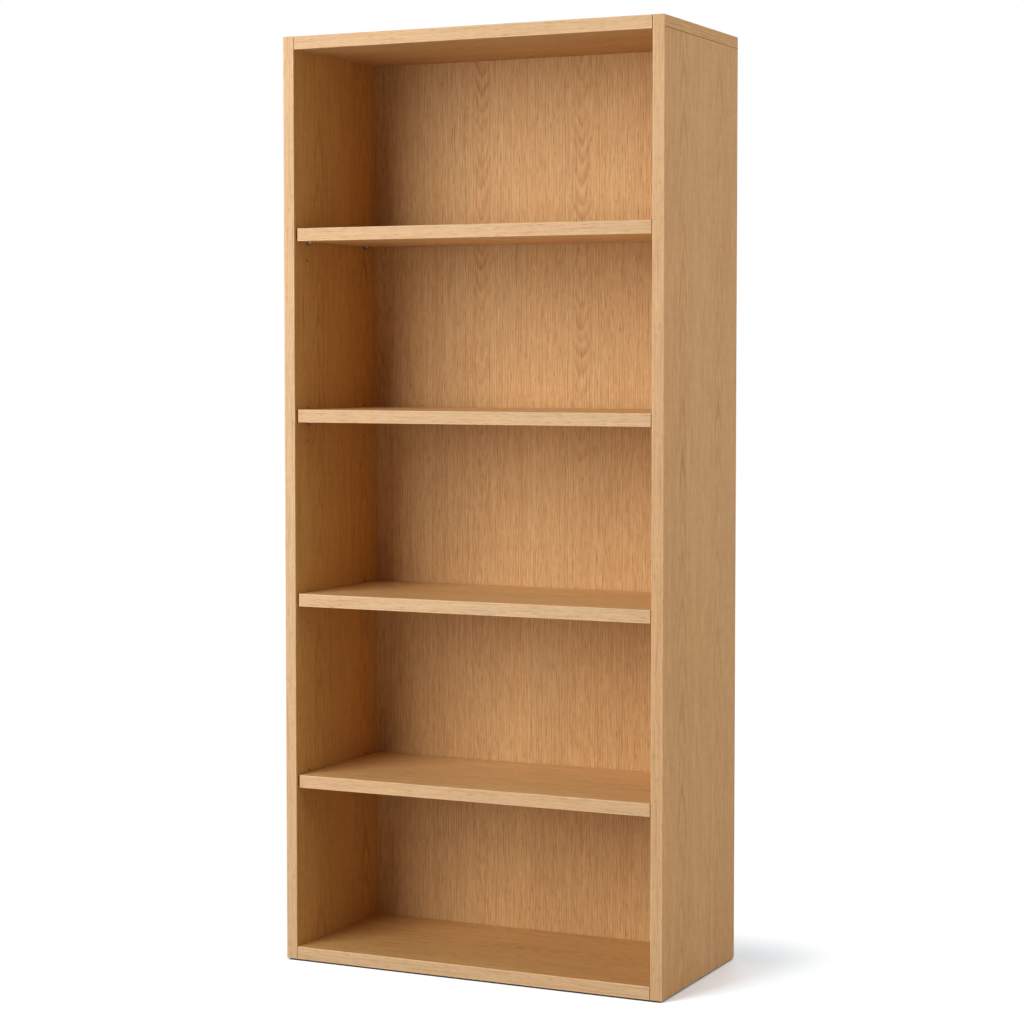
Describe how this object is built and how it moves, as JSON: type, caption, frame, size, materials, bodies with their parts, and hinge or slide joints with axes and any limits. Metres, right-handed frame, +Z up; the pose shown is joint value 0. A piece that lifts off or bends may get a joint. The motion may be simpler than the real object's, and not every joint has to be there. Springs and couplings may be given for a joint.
{
  "type": "bookcase with adjustable shelves",
  "caption": "Tall open oak-veneered bookcase with a recessed back panel and loose shelves that stand on steel pins in rows of holes.",
  "frame": {"origin": "centre of the footprint, on the floor", "axes": "+Z up, -Y towards the open front, +X to the right for a viewer who faces the front"},
  "size_m": [0.793, 0.38, 1.8],
  "materials": {
    "oak_veneer_upright": "satin lacquered oak veneer, grain upright",
    "oak_veneer_level": "satin lacquered oak veneer, grain along the shelf",
    "oak_veneer_back": "satin lacquered oak veneer, crown-cut grain upright",
    "oak_lipping_upright": "satin lacquered solid oak, grain upright",
    "oak_lipping_level": "satin lacquered solid oak, grain along the edge",
    "rail_wood": "planed, clear sealed",
    "beech_dowel": "plain beech",
    "pin_steel": "nickel-plated steel, satin",
    "bracket_steel": "zinc-plated steel",
    "fastener_steel": "zinc-plated steel",
    "glide_plastic": "moulded dark brown plastic"
  },
  "bodies": {
    "carcass": {"left_side": "oak_veneer_upright", "right_side": "oak_veneer_upright", "top_panel": "oak_veneer_level", "bottom_panel": "oak_veneer_level", "back_panel": "oak_veneer_back", "fixing_rail": "rail_wood", "left_side_lipping": "oak_lipping_upright", "right_side_lipping": "oak_lipping_upright", "top_lipping": "oak_lipping_level", "bottom_lipping": "oak_lipping_level", "top_left_edging": "oak_lipping_level", "top_right_edging": "oak_lipping_level", "top_left_dowels": "beech_dowel", "top_right_dowels": "beech_dowel", "bottom_left_dowels": "beech_dowel", "bottom_right_dowels": "beech_dowel", "rail_left_dowels": "beech_dowel", "rail_right_dowels": "beech_dowel", "glide_front_left": "glide_plastic", "glide_front_right": "glide_plastic", "glide_rear_left": "glide_plastic", "glide_rear_right": "glide_plastic", "glide_nails": "fastener_steel", "anti_tip_bracket": "bracket_steel", "bracket_screws": "fastener_steel"},
    "shelf_1": {"shelf_1": "oak_veneer_level", "shelf_1_lipping": "oak_lipping_level"},
    "shelf_2": {"shelf_2": "oak_veneer_level", "shelf_2_lipping": "oak_lipping_level"},
    "shelf_3": {"shelf_3": "oak_veneer_level", "shelf_3_lipping": "oak_lipping_level"},
    "shelf_4": {"shelf_4": "oak_veneer_level", "shelf_4_lipping": "oak_lipping_level"},
    "shelf_1_pin_front_left": {"shelf_1_pin_front_left": "pin_steel"},
    "shelf_1_pin_front_right": {"shelf_1_pin_front_right": "pin_steel"},
    "shelf_1_pin_rear_left": {"shelf_1_pin_rear_left": "pin_steel"},
    "shelf_1_pin_rear_right": {"shelf_1_pin_rear_right": "pin_steel"},
    "shelf_2_pin_front_left": {"shelf_2_pin_front_left": "pin_steel"},
    "shelf_2_pin_front_right": {"shelf_2_pin_front_right": "pin_steel"},
    "shelf_2_pin_rear_left": {"shelf_2_pin_rear_left": "pin_steel"},
    "shelf_2_pin_rear_right": {"shelf_2_pin_rear_right": "pin_steel"},
    "shelf_3_pin_front_left": {"shelf_3_pin_front_left": "pin_steel"},
    "shelf_3_pin_front_right": {"shelf_3_pin_front_right": "pin_steel"},
    "shelf_3_pin_rear_left": {"shelf_3_pin_rear_left": "pin_steel"},
    "shelf_3_pin_rear_right": {"shelf_3_pin_rear_right": "pin_steel"},
    "shelf_4_pin_front_left": {"shelf_4_pin_front_left": "pin_steel"},
    "shelf_4_pin_front_right": {"shelf_4_pin_front_right": "pin_steel"},
    "shelf_4_pin_rear_left": {"shelf_4_pin_rear_left": "pin_steel"},
    "shelf_4_pin_rear_right": {"shelf_4_pin_rear_right": "pin_steel"}
  },
  "joints": [
    {"name": "shelf_1_lift", "type": "slide", "parent": "carcass", "child": "shelf_1", "axis": [0, 0, 1], "range_m": [0, 0.323]},
    {"name": "shelf_2_lift", "type": "slide", "parent": "carcass", "child": "shelf_2", "axis": [0, 0, 1], "range_m": [0, 0.326]},
    {"name": "shelf_3_lift", "type": "slide", "parent": "carcass", "child": "shelf_3", "axis": [0, 0, 1], "range_m": [0, 0.318]},
    {"name": "shelf_4_lift", "type": "slide", "parent": "carcass", "child": "shelf_4", "axis": [0, 0, 1], "range_m": [0, 0.342]},
    {"name": "shelf_1_pin_front_left_pull", "type": "slide", "parent": "carcass", "child": "shelf_1_pin_front_left", "axis": [1, 0, 0], "range_m": [0, 0.01]},
    {"name": "shelf_1_pin_front_right_pull", "type": "slide", "parent": "carcass", "child": "shelf_1_pin_front_right", "axis": [-1, 0, 0], "range_m": [0, 0.01]},
    {"name": "shelf_1_pin_rear_left_pull", "type": "slide", "parent": "carcass", "child": "shelf_1_pin_rear_left", "axis": [1, 0, 0], "range_m": [0, 0.01]},
    {"name": "shelf_1_pin_rear_right_pull", "type": "slide", "parent": "carcass", "child": "shelf_1_pin_rear_right", "axis": [-1, 0, 0], "range_m": [0, 0.01]},
    {"name": "shelf_2_pin_front_left_pull", "type": "slide", "parent": "carcass", "child": "shelf_2_pin_front_left", "axis": [1, 0, 0], "range_m": [0, 0.01]},
    {"name": "shelf_2_pin_front_right_pull", "type": "slide", "parent": "carcass", "child": "shelf_2_pin_front_right", "axis": [-1, 0, 0], "range_m": [0, 0.01]},
    {"name": "shelf_2_pin_rear_left_pull", "type": "slide", "parent": "carcass", "child": "shelf_2_pin_rear_left", "axis": [1, 0, 0], "range_m": [0, 0.01]},
    {"name": "shelf_2_pin_rear_right_pull", "type": "slide", "parent": "carcass", "child": "shelf_2_pin_rear_right", "axis": [-1, 0, 0], "range_m": [0, 0.01]},
    {"name": "shelf_3_pin_front_left_pull", "type": "slide", "parent": "carcass", "child": "shelf_3_pin_front_left", "axis": [1, 0, 0], "range_m": [0, 0.01]},
    {"name": "shelf_3_pin_front_right_pull", "type": "slide", "parent": "carcass", "child": "shelf_3_pin_front_right", "axis": [-1, 0, 0], "range_m": [0, 0.01]},
    {"name": "shelf_3_pin_rear_left_pull", "type": "slide", "parent": "carcass", "child": "shelf_3_pin_rear_left", "axis": [1, 0, 0], "range_m": [0, 0.01]},
    {"name": "shelf_3_pin_rear_right_pull", "type": "slide", "parent": "carcass", "child": "shelf_3_pin_rear_right", "axis": [-1, 0, 0], "range_m": [0, 0.01]},
    {"name": "shelf_4_pin_front_left_pull", "type": "slide", "parent": "carcass", "child": "shelf_4_pin_front_left", "axis": [1, 0, 0], "range_m": [0, 0.01]},
    {"name": "shelf_4_pin_front_right_pull", "type": "slide", "parent": "carcass", "child": "shelf_4_pin_front_right", "axis": [-1, 0, 0], "range_m": [0, 0.01]},
    {"name": "shelf_4_pin_rear_left_pull", "type": "slide", "parent": "carcass", "child": "shelf_4_pin_rear_left", "axis": [1, 0, 0], "range_m": [0, 0.01]},
    {"name": "shelf_4_pin_rear_right_pull", "type": "slide", "parent": "carcass", "child": "shelf_4_pin_rear_right", "axis": [-1, 0, 0], "range_m": [0, 0.01]}
  ]
}
